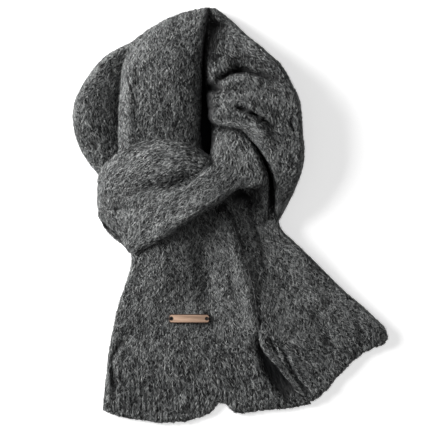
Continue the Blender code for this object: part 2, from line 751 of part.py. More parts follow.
def lay_tag(tree):
    """The tag and its stitches, level with the cloth under them."""
    x, y = TAG_CENTRE
    half = TAG_LENGTH / 2
    ends = [highest_below(tree, x + side * half * 0.8, y) for side in (-1, 1)]
    tilt = np.arctan2(ends[1] - ends[0], 1.6 * half)
    lift = 0
    for step_x in np.linspace(-half, half, 15):
        for step_y in np.linspace(-TAG_WIDTH / 2, TAG_WIDTH / 2, 5):
            cloth = highest_below(tree, x + step_x, y + step_y)
            lift = max(lift, cloth - step_x * np.tan(tilt))
    frame = bpy.data.objects.new("tag_place", None)
    bpy.context.scene.collection.objects.link(frame)
    frame.location = Vector((x, y, lift + GAP)) * MM
    frame.rotation_euler = (0, -tilt, TAG_TURN)
    tag = add_object("tag", *tag_mesh(), cloth_material("tag", WOOD, 0.6))
    tag.parent = frame
    for side in (-1, 1):
        add_hole(tag, side * (half - HOLE_FROM_END))
    add_thread("tag_thread_left", -1, frame)
    add_thread("tag_thread_right", 1, frame)


def build():
    clear_scene()
    shapes = {}
    uppers = {}
    for name, stretch in STRETCHES.items():
        prepare(stretch)
        uppers[name] = upper_rows(stretch)
    cover = merged_tree([open_face(rows) for rows in uppers.values()])
    rows = hidden_rows(cover)
    shapes["hidden_layers"] = closed_wall(rows, on_floor(rows))
    add_object(
        "hidden_layers", *shapes["hidden_layers"],
        cloth_material("hidden_layers", DARK_CHARCOAL, 0.95),
    )
    for name, stretch in STRETCHES.items():
        support = support_map(merged_tree(shapes.values()), uppers[name])
        lower = lower_rows(stretch, support)
        shapes[name] = closed_wall(lifted(uppers[name], lower), lower)
        add_object(name, *shapes[name], cloth_material(name, CHARCOAL, 0.95))
    lay_tag(merged_tree([shapes["tail_front"]]))


build()
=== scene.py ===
import math
import time

import bmesh
import bpy
import numpy as np
from mathutils import Euler, Matrix, Vector
from mathutils.bvhtree import BVHTree


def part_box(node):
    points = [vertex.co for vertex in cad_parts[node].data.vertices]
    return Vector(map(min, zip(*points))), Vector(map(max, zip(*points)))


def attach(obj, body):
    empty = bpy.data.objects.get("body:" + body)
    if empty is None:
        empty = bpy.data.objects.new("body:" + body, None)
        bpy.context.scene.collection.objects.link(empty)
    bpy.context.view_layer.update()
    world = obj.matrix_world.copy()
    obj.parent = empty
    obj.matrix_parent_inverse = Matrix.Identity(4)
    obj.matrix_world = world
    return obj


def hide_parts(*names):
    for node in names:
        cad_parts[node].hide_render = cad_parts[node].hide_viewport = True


started = time.perf_counter()
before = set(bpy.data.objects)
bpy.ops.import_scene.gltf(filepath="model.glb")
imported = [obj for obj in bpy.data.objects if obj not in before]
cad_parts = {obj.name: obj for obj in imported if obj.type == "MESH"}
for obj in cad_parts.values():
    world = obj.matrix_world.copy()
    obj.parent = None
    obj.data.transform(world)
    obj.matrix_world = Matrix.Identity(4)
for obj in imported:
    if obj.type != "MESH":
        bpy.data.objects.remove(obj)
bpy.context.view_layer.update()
mm = 0.001


def report(stage):
    print(f"{time.perf_counter() - started:6.1f} s  {stage}")


def newObject(name, data):
    made = bpy.data.objects.new(name, data)
    bpy.context.scene.collection.objects.link(made)
    return made


# Shader nodes, written as sums of wires.
class Wire:
    def __init__(self, tree, socket=None):
        self.tree = tree
        self.socket = socket

    def node(self, kind, settings=None, sockets=None, output=0):
        made = self.tree.nodes.new(kind)
        for name, value in (settings or {}).items():
            setattr(made, name, value)
        for name, value in (sockets or {}).items():
            if isinstance(value, Wire):
                self.tree.links.new(value.socket, made.inputs[name])
            else:
                made.inputs[name].default_value = value
        return Wire(self.tree, made.outputs[output] if len(made.outputs) else None)

    def maths(self, operation, *values):
        return self.node("ShaderNodeMath", {"operation": operation}, dict(enumerate(values)))

    def __add__(self, other):
        return self.maths("ADD", self, other)

    def __radd__(self, other):
        return self.maths("ADD", other, self)

    def __sub__(self, other):
        return self.maths("SUBTRACT", self, other)

    def __rsub__(self, other):
        return self.maths("SUBTRACT", other, self)

    def __mul__(self, other):
        return self.maths("MULTIPLY", self, other)

    def __rmul__(self, other):
        return self.maths("MULTIPLY", other, self)

    def __pow__(self, other):
        return self.maths("POWER", self, other)

    def __abs__(self):
        return self.maths("ABSOLUTE", self)

    def between(self, low, high):  # 0 below low, 1 above high, smooth in between
        return self.node(
            "ShaderNodeMapRange", {"interpolation_type": "SMOOTHSTEP"},
            {"Value": self, "From Min": low, "From Max": high},
        )

    def mix(self, first, second):  # two colours, with this as the factor
        return self.node(
            "ShaderNodeMix", {"data_type": "RGBA"}, {0: self, 6: first, 7: second}, output=2,
        )

    def scaled(self, factors):
        return self.node(
            "ShaderNodeVectorMath", {"operation": "MULTIPLY"}, {0: self, 1: factors},
        )

    def cloudy(self, scale, detail=2.0, rough=0.55, stretch=(1, 1, 1)):
        return self.node(
            "ShaderNodeTexNoise", {"noise_dimensions": "3D"},
            {"Vector": self.scaled(stretch), "Scale": scale, "Detail": detail, "Roughness": rough},
        )


def newMaterial(name):
    material = bpy.data.materials.new(name)
    material.use_nodes = True
    material.node_tree.nodes.clear()
    return material, Wire(material.node_tree)


def finishMaterial(material, start, sockets):
    shader = start.node("ShaderNodeBsdfPrincipled", None, sockets)
    start.node("ShaderNodeOutputMaterial", None, {"Surface": shader})
    return material


def grey(level, warm=0.0):
    return (level * (1 + warm), level, level * (1 - warm), 1)


knitLook = {
    "dark": grey(0.030, -0.01),
    "middle": grey(0.095),
    "pale": grey(0.26, 0.01),
    # the near-black that the painted shade darkens the knit towards
    "paintedShade": (0.004, 0.0045, 0.005, 1),
    "roughness": 0.88,
    "sheen": 0.03,
    # noises over the stitches: scale, detail, roughness and stretch
    "streaks": (0.75, 3.0, 0.6, (1, 0.3, 1)),
    "flecks": (1.9, 2.0, 0.6, (1, 0.55, 1)),
    "clouds": (0.06, 2.0, 0.5),
    "grain": (1.6, 2.0, 0.6, (1, 0.35, 1)),
    "shares": (0.55, 0.3, 0.15),  # of streaks, flecks and clouds in the tone
    "bumpDepth": 0.9 * mm,
}


def knitMaterial(name, sheen):
    material, start = newMaterial(name)
    lay = start.node("ShaderNodeAttribute", {"attribute_name": "lay"}, output=1)
    shade = start.node("ShaderNodeAttribute", {"attribute_name": "shade"}, output=2)
    streaks, flecks, clouds = (
        lay.cloudy(*knitLook[pattern]) for pattern in ("streaks", "flecks", "clouds")
    )
    ofStreaks, ofFlecks, ofClouds = knitLook["shares"]
    tone = streaks * ofStreaks + flecks * ofFlecks + clouds * ofClouds
    low = tone.between(0.36, 0.52).mix(knitLook["dark"], knitLook["middle"])
    heather = tone.between(0.5, 0.68).mix(low, knitLook["pale"])
    # painted shade: where the shade attribute is low, the heather goes towards black
    colour = shade.mix(knitLook["paintedShade"], heather)
    height = lay.cloudy(*knitLook["grain"]) + streaks
    bump = start.node("ShaderNodeBump", None, {
        "Strength": 0.6, "Distance": knitLook["bumpDepth"], "Height": height,
    })
    rough = knitLook["roughness"] + 0.08 * flecks
    return finishMaterial(material, start, {
        "Base Color": colour, "Roughness": rough, "Normal": bump,
        "Sheen Weight": sheen, "Sheen Roughness": 0.6, "Specular IOR Level": 0.08,
    })


def fibreMaterial(name, colour):
    material, start = newMaterial(name)
    return finishMaterial(material, start, {
        "Base Color": colour, "Roughness": 0.75, "Sheen Weight": 0.06, "Specular IOR Level": 0.15,
    })


knit = knitMaterial("heatherKnit", knitLook["sheen"])
# knit wholly in painted shade, for the layers inside
shadeKnit = knitMaterial("heatherInShade", 0.0)
fibreTones = {  # colour, share of the fibres
    "deep": ((0.012, 0.0122, 0.0126, 1), 0.29),
    "slate": ((0.096, 0.1, 0.101, 1), 0.28),
    "silver": ((0.225, 0.231, 0.229, 1), 0.32),
    "frost": ((0.37, 0.378, 0.372, 1), 0.11),
}
fibreMaterials = [fibreMaterial("fibre_" + name, tone[0]) for name, tone in fibreTones.items()]
report("materials")


# Each cloth is a dictionary, with its sizes in mm:
# - rows: left x, left y, right x, right y, bow, then the heights at the left edge, left, middle,
#   right and right edge.
# - folds: depth, width, lip, the points it runs through, and how dark the shade painted along it is,
#   if that doesn't follow from its depth. A lip above 0 raises the cloth on the fold's left, and one
#   below 0 on its right.
# - sides and ends: the radii at which the edges round away.
# - darkSides and darkReach: the shade painted along the left and right edges: how dark, and how far in.
# - hem: its reach past the last row, as (share of the width, mm).
# - grain: the nap's direction in degrees, as (x, y, direction). Without it the nap follows the rows.
# What they share is here, also in mm.
weave = {
    "gridStep": 1.15, "waleWidth": 6.2, "courseHeight": 4.7, "thickness": 3.6, "swell": 2.0,
    "border": 62, "borderFade": 22, "hemReach": 70, "aboveCloth": 1.6, "aboveFloor": 1.2,
}


def softNoise(x, y, scale, seed):
    table = np.random.default_rng(seed).random((256, 256))
    u, v = x / scale + 97.3, y / scale + 61.7
    i, j = np.floor(u).astype(int), np.floor(v).astype(int)
    f, g = u - i, v - j
    f, g = f * f * (3 - 2 * f), g * g * (3 - 2 * g)
    a, b = table[i & 255, j & 255], table[(i + 1) & 255, j & 255]
    c, d = table[i & 255, (j + 1) & 255], table[(i + 1) & 255, (j + 1) & 255]
    return a + (b - a) * f + (c - a) * g + (a - b - c + d) * f * g - 0.5


def rowValues(rows, place):
    last = len(rows) - 1
    row = np.minimum(place.astype(int), last - 1)
    before, here = rows[np.maximum(row - 1, 0)], rows[row]
    after, beyond = rows[row + 1], rows[np.minimum(row + 2, last)]
    f = (place - row)[:, None]
    return 0.5 * (
        2 * here + (after - before) * f + (2 * before - 5 * here + 4 * after - beyond) * f**2
        + (3 * here - before - 3 * after + beyond) * f**3
    )


def smoothLine(points):
    rows = np.array(points, float)
    return rowValues(rows, np.linspace(0, len(rows) - 1, 8 * (len(rows) - 1) + 1))


def foldField(folds, x, y):
    drop = np.zeros_like(x)
    shade = np.ones_like(x)
    for depth, width, lip, points, *dark in folds:
        line = smoothLine(points)
        reach = 3.2 * width + 4
        near = np.nonzero(
            (x > line[:, 0].min() - reach) & (x < line[:, 0].max() + reach)
            & (y > line[:, 1].min() - reach) & (y < line[:, 1].max() + reach)
        )
        px, py = x[near], y[near]
        best = np.full(px.shape, 1e9)
        side = np.zeros(px.shape)
        along = np.zeros(px.shape)
        for k in range(len(line) - 1):
            run = line[k + 1] - line[k]
            f = ((px - line[k, 0]) * run[0] + (py - line[k, 1]) * run[1]) / (run @ run)
            f = np.clip(f, 0, 1)
            offX, offY = px - line[k, 0] - f * run[0], py - line[k, 1] - f * run[1]
            distance = np.hypot(offX, offY)
            closer = distance < best
            best = np.where(closer, distance, best)
            side = np.where(closer, np.sign(run[0] * offY - run[1] * offX), side)
            along = np.where(closer, (k + f) / (len(line) - 1), along)
        fade = np.sin(np.pi * np.clip(along, 0.02, 0.98)) ** 0.5
        trough = np.exp(-((best / width) ** 2)) * fade
        rim = np.exp(-(((best * np.sign(lip) * side - 1.9 * width) / (1.1 * width)) ** 2)) * fade
        drop[near] += depth * trough - abs(lip) * rim
        # painted shade along the fold's core, from its depth or as the fold gives it
        if depth > 0:
            core = np.exp(-((best / (0.75 * width)) ** 2)) * fade
            byDepth = min(0.9, depth / 8) * min(1, max(0, (11 - width) / 5))
            shade[near] *= 1 - (dark[0] if dark else byDepth) * core
    return drop, shade


def spread(total, radii, rises):
    # distances across a total, closer together where the edges round away
    step = weave["gridStep"]
    parts = []
    for radius, rise in zip(radii, rises):
        count = max(2, round(0.8 * (radius + rise) / step)) if radius > 0 else 0
        parts.append(radius * (1 - np.cos(np.linspace(0, np.pi / 2, count + 1)[:-1])))
    count = max(2, round((total - sum(radii)) / step))
    middle = np.linspace(radii[0], total - radii[1], count + 1)
    return np.concatenate([parts[0], middle, total - parts[1][::-1]])


def rounded(height, edge, distance, radius):
    if np.all(radius <= 0):
        return height
    run = np.clip(distance / np.maximum(radius, 1e-6), 0, 1)
    return edge + (height - edge) * np.sqrt(np.maximum(1 - (1 - run) ** 2, 0))


def shapeCloth(cloth):
    rows = np.array(cloth["rows"], float)
    fine = np.linspace(0, len(rows) - 1, 24 * len(rows))
    values = rowValues(rows, fine)
    middle = (values[:, 0:2] + values[:, 2:4]) / 2
    gone = np.concatenate([[0], np.cumsum(np.linalg.norm(np.diff(middle, axis=0), axis=1))])
    length = gone[-1]
    startRound, endRound = cloth.get("ends", (0, 0))
    travelled = spread(length, (startRound, endRound), (8, 8))
    values = rowValues(rows, np.interp(travelled, gone, fine))
    left, chord = values[:, 0:2], values[:, 2:4] - values[:, 0:2]
    width = np.linalg.norm(chord, axis=1)
    back = np.stack([-chord[:, 1], chord[:, 0]], 1) / width[:, None]
    roundLeft, roundRight = cloth["sides"]
    fit = np.minimum(1, 0.7 * width / max(roundLeft + roundRight, 1))
    widest = width.max()
    pattern = spread(widest, (roundLeft, roundRight), (12, 12))
    inner = (pattern >= roundLeft) & (pattern <= widest - roundRight)
    low, high = pattern < roundLeft, pattern > widest - roundRight
    middleRun = (pattern - roundLeft) / (widest - roundLeft - roundRight)
    distance = np.empty((len(width), len(pattern)))
    for k in range(len(width)):
        rl, rr = roundLeft * fit[k], roundRight * fit[k]
        distance[k] = np.where(inner, rl + middleRun * (width[k] - rl - rr), 0)
        distance[k][low] = pattern[low] * fit[k]
        distance[k][high] = width[k] - (widest - pattern[high]) * fit[k]
    share = distance / width[:, None]
    bulge = 4 * share * (1 - share)
    plan = left[:, None] + share[..., None] * chord[:, None]
    plan += (values[:, 4:5] * bulge)[..., None] * back[:, None]
    if "hem" in cloth:
        hem = np.array(cloth["hem"], float)
        blend = np.maximum(0, 1 - (length - travelled) / weave["hemReach"]) ** 2
        reach = np.interp(share, hem[:, 0], hem[:, 1])
        reach += 1.2 * softNoise(distance, 0 * distance, 5, 3)
        plan -= (blend[:, None] * reach)[..., None] * back[:, None]
    x, y = plan[..., 0], plan[..., 1]
    height = values[:, 6:7] * (1 - share) * (1 - 2 * share)
    height = height + values[:, 7:8] * bulge + values[:, 8:9] * share * (2 * share - 1)
    drop, shade = foldField(cloth["folds"], x, y)
    height = height - drop
    swell = cloth.get("swell", weave["swell"])
    height += swell * softNoise(x, y, 24, 5) + 1.2 * softNoise(x, y, 10, 6)
    fromRight = width[:, None] - distance
    # painted shade where the edges fall away into partings
    if "darkSides" in cloth:
        for dark, reach, across in zip(
            cloth["darkSides"], cloth["darkReach"], (distance, fromRight),
        ):
            shade *= 1 - dark * np.clip(1 - across / reach, 0, 1) ** 1.5
    height = rounded(height, values[:, 5:6], distance, roundLeft * fit[:, None])
    height = rounded(height, values[:, 9:10], fromRight, roundRight * fit[:, None])
    if "ends" in cloth:
        for radius, edge, far in zip(
            cloth["ends"], cloth["endHeights"], (travelled, length - travelled),
        ):
            height = rounded(height, edge, far[:, None], radius)
    return np.dstack([x, y, height]), shade, travelled, length


laidPieces = {}  # each node's pieces so far


def nodeTree(names):
    points, faces = [], []
    for name in names:
        for mesh in laidPieces.get(name, [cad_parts[name].data]):
            start = len(points)
            points.extend(v.co / mm for v in mesh.vertices)
            faces.extend(tuple(start + k for k in p.vertices) for p in mesh.polygons)
    return BVHTree.FromPolygons(points, faces)


def supportRaster(names, x, y, pitch=2.0):
    # tops of what lies under the piece, widened and softened a little
    tree = nodeTree(names)
    xs = np.arange(x.min() - 12, x.max() + 12, pitch)
    ys = np.arange(y.min() - 12, y.max() + 12, pitch)
    tops = np.zeros((len(ys), len(xs)))
    for j, yy in enumerate(ys):
        for i, xx in enumerate(xs):
            hit = tree.ray_cast(Vector((xx, yy, 200)), Vector((0, 0, -1)))[0]
            tops[j, i] = hit.z if hit else -20
    crossed = ((0, 0), (0, 1), (0, -1), (1, 0), (-1, 0))
    around = [(dy, dx) for dy in (-1, 0, 1) for dx in (-1, 0, 1)]
    wide = np.max([np.roll(tops, shift, (0, 1)) for shift in crossed], 0)
    soft = wide
    for _ in range(3):
        soft = sum(np.roll(soft, shift, (0, 1)) for shift in around) / len(around)
    return xs, ys, np.maximum(soft, np.minimum(wide, soft + 2))


def readRaster(raster, x, y):
    xs, ys, values = raster
    u = np.clip((x - xs[0]) / (xs[1] - xs[0]), 0, len(xs) - 1.001)
    v = np.clip((y - ys[0]) / (ys[1] - ys[0]), 0, len(ys) - 1.001)
    i, j = u.astype(int), v.astype(int)
    f, g = u - i, v - j
    return (
        values[j, i] * (1 - f) * (1 - g) + values[j, i + 1] * f * (1 - g)
        + values[j + 1, i] * (1 - f) * g + values[j + 1, i + 1] * f * g
    )


def normalsOf(points):
    alongRows = np.gradient(points, axis=0)
    alongColumns = np.gradient(points, axis=1)
    normal = np.cross(alongColumns, alongRows)
    normal /= np.maximum(np.linalg.norm(normal, axis=2, keepdims=True), 1e-9)
    return normal * np.where(normal[..., 2:].mean() < 0, -1, 1), alongRows, alongColumns


def stitchRelief(wale, course):
    # two leaning legs to each stitch, the courses nested like chevrons
    inWale = wale - np.floor(wale)
    leg = 1 - (2 * np.abs((2 * inWale) % 1 - 0.5)) ** 2
    lean = course + 1.6 * np.abs(inWale - 0.5)
    turn = 0.5 - 0.5 * np.cos(2 * np.pi * lean)
    return 0.3 * leg + 0.7 * leg * turn, leg


def layCloth(name, cloth):
    points, shade, travelled, length = shapeCloth(cloth)
    x, y = points[..., 0], points[..., 1]
    if cloth.get("over"):
        under = readRaster(supportRaster(cloth["over"], x, y), x, y)
        points[..., 2] = np.maximum(points[..., 2], under + weave["aboveCloth"])
    points[..., 2] = np.maximum(points[..., 2], weave["aboveFloor"])
    normal, alongRows, alongColumns = normalsOf(points)
    steps = np.linalg.norm(np.diff(points, axis=1), axis=2)
    arc = np.concatenate([np.zeros((len(steps), 1)), np.cumsum(steps, axis=1)], 1)
    wale = arc / arc[:, -1:] * cloth["wales"]
    course = np.repeat(travelled[:, None], wale.shape[1], 1) / weave["courseHeight"]
    grainDirection = alongRows
    if "grain" in cloth:
        double = np.zeros((2,) + x.shape)  # a direction and its opposite are the same grain
        for atX, atY, degrees in cloth["grain"]:
            near = 1 / ((x - atX) ** 2 + (y - atY) ** 2 + 60) ** 1.5
            turned = math.radians(2 * degrees)
            double += near * np.array([[[math.cos(turned)]], [[math.sin(turned)]]])
        heading = 0.5 * np.arctan2(double[1], double[0])
        grainDirection = np.dstack([np.cos(heading), np.sin(heading), 0 * x])
    wale = wale + 0.5 * softNoise(x, y, 14, 8)
    course = course + 0.9 * softNoise(x, y, 17, 9)
    relief, leg = stitchRelief(wale, course)
    uneven = softNoise(x, y, 3.2, 21) + 0.6 * softNoise(x, y, 6.5, 22)
    rise = cloth.get("relief", 1.0) * (relief - 0.4) + 0.9 * uneven
    inset = np.minimum(arc, arc[:, -1:] - arc)
    rise = rise * np.clip(inset / 9, 0.25, 1)
    if "hem" in cloth:
        toEnd = (length - travelled)[:, None]
        rib = 0.5 + 0.5 * np.cos(2 * np.pi * (arc / arc[:, -1:] * cloth["ribs"]))
        border = np.clip((weave["border"] - toEnd) / weave["borderFade"], 0, 1)
        rib = rib * np.clip(0.75 + 1.3 * softNoise(x, y, 13, 51), 0.2, 1)
        rise = rise * (1 - 0.3 * border) + border * 0.8 * (rib - 0.5)
        # painted shade in the grooves of the ribs
        shade = shade * (1 - 0.18 * border * (1 - rib) ** 2)
    # painted shade on the low parts of the stitches
    shade = shade * (0.72 + 0.28 * np.clip(relief * 1.5, 0, 1))
    # painted shade in the gaps between the stitch legs, which are also sunk
    gapShade = (1 - leg) ** 3 * np.clip(0.3 + 1.6 * softNoise(x, y, 9, 41), 0, 1)
    shade = shade * (1 - 0.55 * gapShade)
    rise = rise - 0.6 * gapShade
    surface = points + normal * rise[..., None]
    surface[..., 2] = np.maximum(surface[..., 2], 0.6)

    rowCount, columnCount = wale.shape
    grid = np.arange(rowCount * columnCount).reshape(rowCount, columnCount)
    lowRows, lowColumns = (  # the lower face is coarser
        np.unique(np.round(np.linspace(0, count - 1, max(3, count // 6))).astype(int))
        for count in (rowCount, columnCount)
    )
    under = (points - normal * weave["thickness"])[np.ix_(lowRows, lowColumns)]
    under[..., 2] = np.maximum(under[..., 2], 0.2)
    lowGrid = grid.size + np.arange(under[..., 0].size).reshape(under.shape[:2])
    faces = [
        np.stack([g[:-1, :-1], g[:-1, 1:], g[1:, 1:], g[1:, :-1]], -1).reshape(-1, 4)
        for g in (grid, lowGrid)
    ]
    triangles = []
    for topLine, lowLine, places in (
        (grid[0], lowGrid[0], lowColumns), (grid[-1], lowGrid[-1], lowColumns),
        (grid[:, 0], lowGrid[:, 0], lowRows), (grid[:, -1], lowGrid[:, -1], lowRows),
    ):
        nearest = np.abs(np.arange(len(topLine))[:, None] - places[None]).argmin(1)
        for k in range(len(topLine) - 1):
            a, b = nearest[k], nearest[k + 1]
            triangles.append((topLine[k], topLine[k + 1], lowLine[a]))
            if a != b:
                triangles.append((topLine[k + 1], lowLine[b], lowLine[a]))
    vertices = np.concatenate([surface.reshape(-1, 3), under.reshape(-1, 3)]) * mm
    mesh = bpy.data.meshes.new(name)
    allFaces = faces[0].tolist() + faces[1].tolist() + triangles
    mesh.from_pydata(vertices.tolist(), [], allFaces)
    lay = np.dstack([
        wale * weave["waleWidth"], course * weave["courseHeight"], 0 * wale + cloth["seed"] * 50,
    ])
    lowPick = np.ix_(lowRows, lowColumns)
    layAll = np.concatenate([lay.reshape(-1, 3), lay[lowPick].reshape(-1, 3)])
    # the lower face takes a deeper painted shade
    shadeAll = np.concatenate([shade.ravel(), 0.8 * shade[lowPick].ravel()])
    mesh.attributes.new("lay", "FLOAT_VECTOR", "POINT").data.foreach_set("vector", layAll.ravel())
    mesh.attributes.new("shade", "FLOAT", "POINT").data.foreach_set("value", shadeAll)
    tidy = bmesh.new()
    tidy.from_mesh(mesh)
    bmesh.ops.recalc_face_normals(tidy, faces=tidy.faces)
    tidy.to_mesh(mesh)
    tidy.free()
    mesh.shade_smooth()
    mesh.materials.append(knit)
    piece = newObject(name, mesh)
    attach(piece, "root")
    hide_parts(cloth["node"])
    laidPieces.setdefault(cloth["node"], []).append(mesh)
    fuzz = brushUp(name + "_nap", cloth, surface, grainDirection, wale, shade, relief)
    flatArea = np.linalg.norm(np.cross(alongRows, alongColumns), axis=2).sum() * 1e-6
    report(f"{name}: {len(allFaces)} faces, plain area {flatArea:.4f} m2")


# The brushed nap: locks of tufts that lie along the stitches, and loose hairs over them. Lengths
# are in mm and turns in degrees.
nap = {
    "perSquareMm": 0.95, "perLock": 4, "hairs": 0.11, "lean": 24, "wander": 11,
    "tuftLength": (4.2, 8), "tuftWidth": (0.38, 0.78), "tuftLift": (0.35, 0.95),
    "hairLength": (6, 14), "hairWidth": (0.16, 0.28), "hairLift": (0.9, 2.2),
    "lockWidth": 0.42, "lockLength": 1.6,
    "hairTurn": 40, "tuftTurn": 6, "hairCurl": 18, "tuftCurl": 5, "roll": 18,
    "clouds": ((0.5, 5, 32), (0.4, 28, 33)),  # of tone: strength, size and seed
    "shadeWeight": 4.5, "toneNoise": 0.7,
}


def bilinear(values, u, v):
    i = np.clip(u.astype(int), 0, values.shape[0] - 2)
    j = np.clip(v.astype(int), 0, values.shape[1] - 2)
    f, g = (u - i)[:, None], (v - j)[:, None]
    return (
        values[i, j] * (1 - f) * (1 - g) + values[i + 1, j] * f * (1 - g)
        + values[i, j + 1] * (1 - f) * g + values[i + 1, j + 1] * f * g
    )


def brushUp(name, cloth, surface, grainDirection, wale, shade, relief):
    rng = np.random.default_rng(cloth["seed"] + 40)
    normal, alongRows, alongColumns = normalsOf(surface)
    cell = np.linalg.norm(np.cross(alongRows, alongColumns), axis=2)
    # fewer fibres where the painted shade is dark, so that it shows
    cell = cell * np.clip(1.8 * shade - 0.45, 0.02, 1)
    cell[0], cell[-1], cell[:, 0], cell[:, -1] = 0, 0, 0, 0
    locks = int(cell.sum() * nap["perSquareMm"] / nap["perLock"])
    count = locks * nap["perLock"]
    hair = rng.random(count) < nap["hairs"]

    def inside(u, v):
        return np.clip(u, 0, cell.shape[0] - 1.001), np.clip(v, 0, cell.shape[1] - 1.001)

    def cloth3d(u, v):  # the grid place, and the normal, grain and sideways directions there
        at = (u.astype(int), v.astype(int))
        n, forward = normal[at], grainDirection[at]
        forward = forward - (forward * n).sum(1, keepdims=True) * n
        forward /= np.maximum(np.linalg.norm(forward, axis=1, keepdims=True), 1e-9)
        return at, n, forward, np.cross(n, forward)

    def walk(u, v, at, heading, step):
        rowStep, columnStep = alongRows[at], alongColumns[at]
        rr, cc = (rowStep**2).sum(1), (columnStep**2).sum(1)
        rc = (rowStep * columnStep).sum(1)
        dr, dc = (heading * rowStep).sum(1) * step, (heading * columnStep).sum(1) * step
        det = np.maximum(rr * cc - rc * rc, 1e-6)
        goRow, goColumn = (dr * cc - dc * rc) / det, (dc * rr - dr * rc) / det
        return inside(u + np.clip(goRow, -6, 6), v + np.clip(goColumn, -6, 6))

    def either(kind):
        low, high = (
            np.where(hair, hairs, tufts) for hairs, tufts in zip(nap["hair" + kind], nap["tuft" + kind])
        )
        return low + (high - low) * rng.random(count)

    pick = rng.choice(cell.size, locks, p=(cell / cell.sum()).ravel())
    u, v = np.unravel_index(pick, cell.shape)
    u, v = inside(u + rng.random(locks), v + rng.random(locks))
    here = (u.astype(int), v.astype(int))
    side = np.where((wale[here] % 1) < 0.5, 1, -1)
    lean = cloth.get("lean", nap["lean"])
    angle = np.radians(lean * side + nap["wander"] * rng.standard_normal(locks))
    x, y = surface[here][:, 0], surface[here][:, 1]
    cloud = sum(strength * softNoise(x, y, size, seed) for strength, size, seed in nap["clouds"])
    # fibres paler on the stitch tops and darker under the painted shade
    tone = rng.standard_normal(locks) + cloud + relief[here]
    tone = tone - nap["shadeWeight"] * (1 - shade[here])
    u, v, angle, tone = (np.repeat(values, nap["perLock"]) for values in (u, v, angle, tone))
    at, n, forward, sideways = cloth3d(u, v)
    heading = np.cos(angle)[:, None] * forward + np.sin(angle)[:, None] * sideways
    u, v = walk(u, v, at, heading, nap["lockLength"] * rng.standard_normal(count))
    u, v = walk(u, v, at, np.cross(n, heading), nap["lockWidth"] * rng.standard_normal(count))
    turn = np.radians(np.where(hair, nap["hairTurn"], nap["tuftTurn"]))
    curl = np.radians(np.where(hair, nap["hairCurl"], nap["tuftCurl"]))
    angle = angle + turn * rng.standard_normal(count)
    angle = angle + np.pi * (rng.random(count) < 0.5)
    rank = tone + nap["toneNoise"] * rng.standard_normal(count)
    length, width, lift = either("Length"), either("Width")[:, None] / 2, either("Lift")
    loose = hair & (rng.random(count) < 0.5)
    lifts = [np.full(count, -0.3), lift, lift * rng.uniform(0.7, 1.3, count)]
    lifts.append(np.where(loose, lift + rng.uniform(0.4, 2.0, count), rng.uniform(-0.3, 0.5, count)))
    shadeHere = shade[u.astype(int), v.astype(int)]
    stops, sides, darkest = [], [], np.ones(count)
    for k in range(4):
        at, n, forward, sideways = cloth3d(u, v)
        darkest = np.minimum(darkest, shade[at])
        heading = np.cos(angle)[:, None] * forward + np.sin(angle)[:, None] * sideways
        stops.append(bilinear(surface, u, v) + n * lifts[k][:, None])
        roll = np.radians(nap["roll"]) * rng.standard_normal(count)
        sides.append(np.cos(roll)[:, None] * np.cross(n, heading) + np.sin(roll)[:, None] * n)
        u, v = walk(u, v, at, heading, length / 3)
        angle = angle + curl * rng.standard_normal(count)
    corners = np.stack([
        stops[0], stops[1] - sides[1] * width, stops[1] + sides[1] * width,
        stops[2] - sides[2] * width, stops[2] + sides[2] * width, stops[3],
    ], 1)
    corners[..., 2] = np.maximum(corners[..., 2], 0.3)
    # fibres that would cross the painted shade of a parting are left out, so that it stays dark
    clear = rng.random(count) < np.clip(2.6 * darkest / shadeHere - 1.2, 0.02, 1)
    order = np.argsort(np.argsort(rank)) / count
    limits = np.cumsum([tone[1] for tone in fibreTones.values()])
    slots = np.searchsorted(limits[:-1], order)[clear]
    corners = corners[clear]
    count = len(corners)
    first = 6 * np.arange(count)[:, None]
    # a triangle at each end of the fibre and a quad between them
    loops = np.concatenate([first + np.array(face) for face in ((0, 1, 2), (1, 3, 4, 2), (3, 5, 4))], 1)
    mesh = bpy.data.meshes.new(name)
    mesh.vertices.add(6 * count)
    mesh.vertices.foreach_set("co", (corners * mm).ravel())
    mesh.loops.add(10 * count)
    mesh.loops.foreach_set("vertex_index", loops.ravel())
    mesh.polygons.add(3 * count)
    starts = 10 * np.arange(count)[:, None] + np.array([0, 3, 7])
    mesh.polygons.foreach_set("loop_start", starts.ravel())
    mesh.polygons.foreach_set("material_index", np.repeat(slots, 3))
    for material in fibreMaterials:
        mesh.materials.append(material)
    mesh.update(calc_edges=True)
    mesh.shade_smooth()
    piece = newObject(name, mesh)
    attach(piece, "root")
    print(f"          {name}: {count} fibres, {4 * count} triangles")
    return piece


